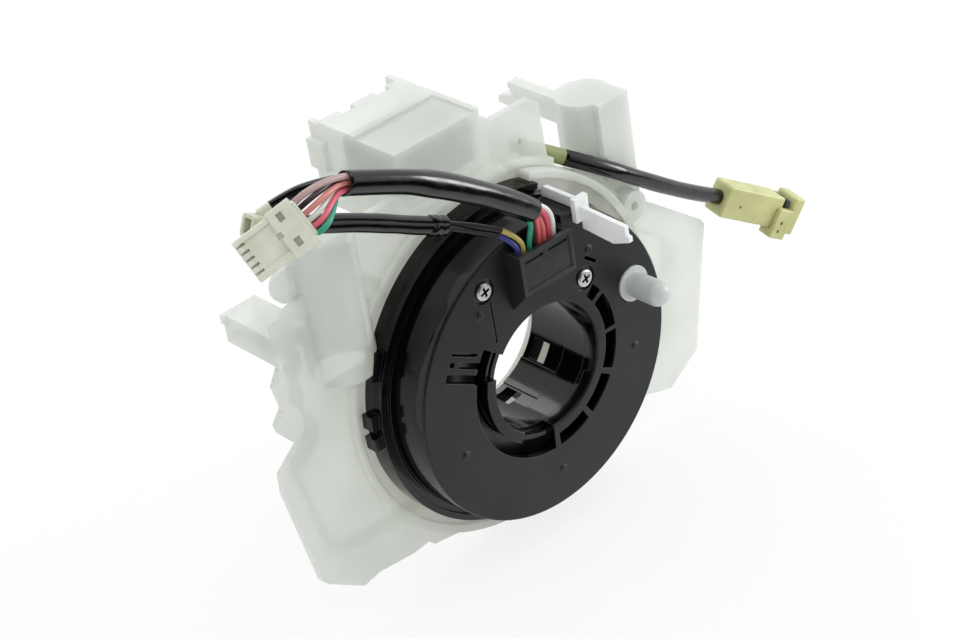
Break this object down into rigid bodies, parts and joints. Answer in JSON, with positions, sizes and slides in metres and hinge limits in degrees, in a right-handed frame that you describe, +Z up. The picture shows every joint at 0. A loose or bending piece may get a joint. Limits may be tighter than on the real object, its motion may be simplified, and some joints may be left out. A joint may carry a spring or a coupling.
{
  "type": "steering clock spring",
  "caption": "Steering wheel clock spring: a slotted rotor turns in a dished case on a translucent column bracket with harness socket, wiring leads and plugs.",
  "frame": {"origin": "on the steering axis, at the rear end of the column collar", "axes": "+Y along the steering axis from the driver towards the column, +Z up, +X to the driver's right"},
  "size_m": [0.2262, 0.0859, 0.1601],
  "materials": {
    "rotor_cover": "fine satin grain",
    "rotor_hub": "glossy",
    "rear_sleeve": "glossy",
    "connector_block": "satin",
    "screws": "bright zinc plate",
    "locating_pin": "satin, slightly translucent",
    "transport_strip": "translucent natural plastic",
    "stator_case": "glossy",
    "ribbon_cable": "laminated polyester film",
    "slip_sheets": "smooth film",
    "bracket": "translucent natural plastic",
    "harness_header": "opaque white plastic",
    "header_pins": "tin plate",
    "black_sleeves": "soft vinyl sheen",
    "pale_sheath": "soft vinyl",
    "wires": "soft vinyl, several colours",
    "dark_wires": "soft vinyl, yellow and blue",
    "ivory_plug": "smooth",
    "airbag_plug": "smooth",
    "clip": "satin"
  },
  "bodies": {
    "stator": {"stator_case": "stator_case", "ribbon_cable": "ribbon_cable", "slip_sheet_rear": "slip_sheets", "bracket": "bracket", "harness_header": "harness_header", "header_pins": "header_pins", "airbag_lead_root": "pale_sheath", "airbag_lead": "black_sleeves", "airbag_plug": "airbag_plug", "airbag_plug_latch": "airbag_plug", "airbag_plug_clip": "clip"},
    "rotor": {"rotor_cover": "rotor_cover", "rotor_hub": "rotor_hub", "rear_sleeve": "rear_sleeve", "connector_block": "connector_block", "cover_screw_upper": "screws", "cover_screw_lower": "screws", "locating_pin": "locating_pin", "slip_sheet_front": "slip_sheets", "signal_sleeve": "black_sleeves", "horn_sleeve": "black_sleeves", "link_sleeve": "black_sleeves", "signal_wires": "wires", "horn_wires": "dark_wires", "signal_plug": "ivory_plug", "signal_plug_lock": "ivory_plug", "plug_wires": "wires", "horn_plug": "ivory_plug"},
    "lock_strip": {"transport_strip": "transport_strip"}
  },
  "joints": [
    {"name": "rotor_turn", "type": "hinge", "parent": "stator", "child": "rotor", "pos_m": [0, 0, 0], "axis": [0, 1, 0], "range_deg": [-900, 900]},
    {"name": "lock_strip_pull", "type": "slide", "parent": "rotor", "child": "lock_strip", "axis": [0, -1, 0], "range_m": [0, 0.03]}
  ]
}
